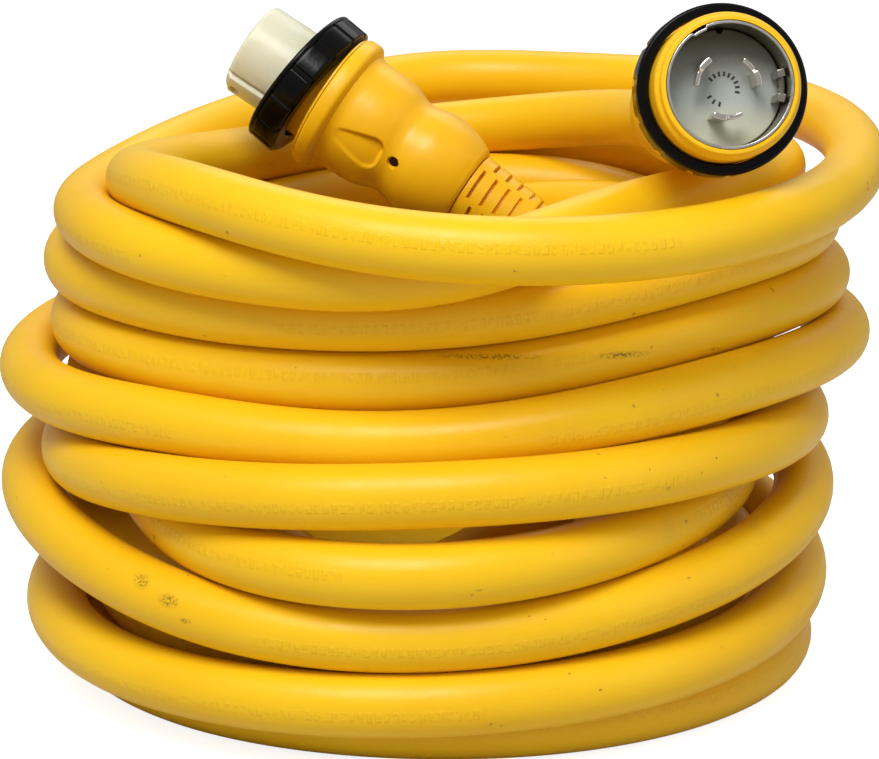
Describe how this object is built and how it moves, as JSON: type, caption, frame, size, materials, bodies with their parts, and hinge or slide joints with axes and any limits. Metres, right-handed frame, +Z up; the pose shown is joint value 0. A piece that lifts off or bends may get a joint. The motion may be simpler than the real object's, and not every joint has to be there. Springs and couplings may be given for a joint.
{
  "type": "shore power cord",
  "caption": "Coiled heavy yellow shore power cord with a locking female connector and a locking male plug, each with a threaded sealing ring.",
  "frame": {"origin": "middle of the coil, on the surface it stands on", "axes": "+Z up, -Y towards the side that the plug faces, +X from the connector towards the plug"},
  "size_m": [0.429, 0.4223, 0.3342],
  "materials": {
    "jacket_yellow": "satin thermoplastic elastomer cable jacket, warm yellow, lightly scuffed",
    "housing_yellow": "satin moulded elastomer, deep yellow",
    "black_ring": "glossy black moulded plastic",
    "black_insulator": "black thermoset insulator",
    "cream_nylon": "cream nylon, slightly translucent",
    "white_base": "off-white moulded insulator",
    "zinc_steel": "zinc plated steel",
    "nickel": "bright nickel plate",
    "brass": "machined brass",
    "grey_rubber": "dark grey seal rubber",
    "wire_black": "black conductor insulation",
    "wire_red": "red conductor insulation",
    "wire_white": "white conductor insulation",
    "wire_green": "green conductor insulation"
  },
  "bodies": {
    "root": {"connector_clamp_screw_1": "nickel", "connector_clamp_screw_2": "nickel", "connector_conductor_black": "wire_black", "connector_conductor_green": "wire_green", "connector_conductor_red": "wire_red", "connector_conductor_white": "wire_white", "connector_contact_w": "brass", "connector_contact_x": "brass", "connector_contact_y": "brass", "connector_cord_clamp_lower": "black_insulator", "connector_cord_clamp_upper": "black_insulator", "connector_face": "cream_nylon", "connector_ground_contact": "brass", "connector_housing": "housing_yellow", "connector_housing_screw_1": "nickel", "connector_housing_screw_2": "nickel", "connector_lead": "jacket_yellow", "connector_rear_block": "black_insulator", "connector_seal": "grey_rubber", "connector_strain_relief": "housing_yellow", "connector_terminal_screw_1": "brass", "connector_terminal_screw_2": "brass", "connector_terminal_screw_3": "brass", "connector_terminal_screw_4": "brass", "cord_coil": "jacket_yellow", "plug_base": "white_base", "plug_blade_w": "nickel", "plug_blade_x": "nickel", "plug_blade_y": "nickel", "plug_clamp_screw_1": "nickel", "plug_clamp_screw_2": "nickel", "plug_conductor_black": "wire_black", "plug_conductor_green": "wire_green", "plug_conductor_red": "wire_red", "plug_conductor_white": "wire_white", "plug_cord_clamp_lower": "black_insulator", "plug_cord_clamp_upper": "black_insulator", "plug_ground_clip": "nickel", "plug_housing": "housing_yellow", "plug_housing_screw_1": "nickel", "plug_housing_screw_2": "nickel", "plug_lead": "jacket_yellow", "plug_rear_block": "black_insulator", "plug_seal": "grey_rubber", "plug_shell": "zinc_steel", "plug_strain_relief": "housing_yellow", "plug_terminal_screw_1": "brass", "plug_terminal_screw_2": "brass", "plug_terminal_screw_3": "brass", "plug_terminal_screw_4": "brass"},
    "connector_ring_carrier": {"connector_thrust_washer": "housing_yellow"},
    "connector_ring": {"connector_ring": "black_ring"},
    "plug_ring_carrier": {"plug_thrust_washer": "housing_yellow"},
    "plug_ring": {"plug_ring": "black_ring"}
  },
  "joints": [
    {"name": "connector_ring_slide", "type": "slide", "parent": "root", "child": "connector_ring_carrier", "axis": [-0.828, 0.194, 0.526], "range_m": [0, 0.004]},
    {"name": "connector_ring_spin", "type": "hinge", "parent": "connector_ring_carrier", "child": "connector_ring", "pos_m": [-0.065, 0.0485, 0.2795], "axis": [-0.7587, 0.2069, 0.6177], "continuous": true},
    {"name": "plug_ring_slide", "type": "slide", "parent": "root", "child": "plug_ring_carrier", "axis": [0.089, -0.9734, 0.2111], "range_m": [-0.003, 0.004]},
    {"name": "plug_ring_spin", "type": "hinge", "parent": "plug_ring_carrier", "child": "plug_ring", "pos_m": [0.1219, -0.1325, 0.2962], "axis": [0.089, -0.9734, 0.2111], "continuous": true}
  ]
}
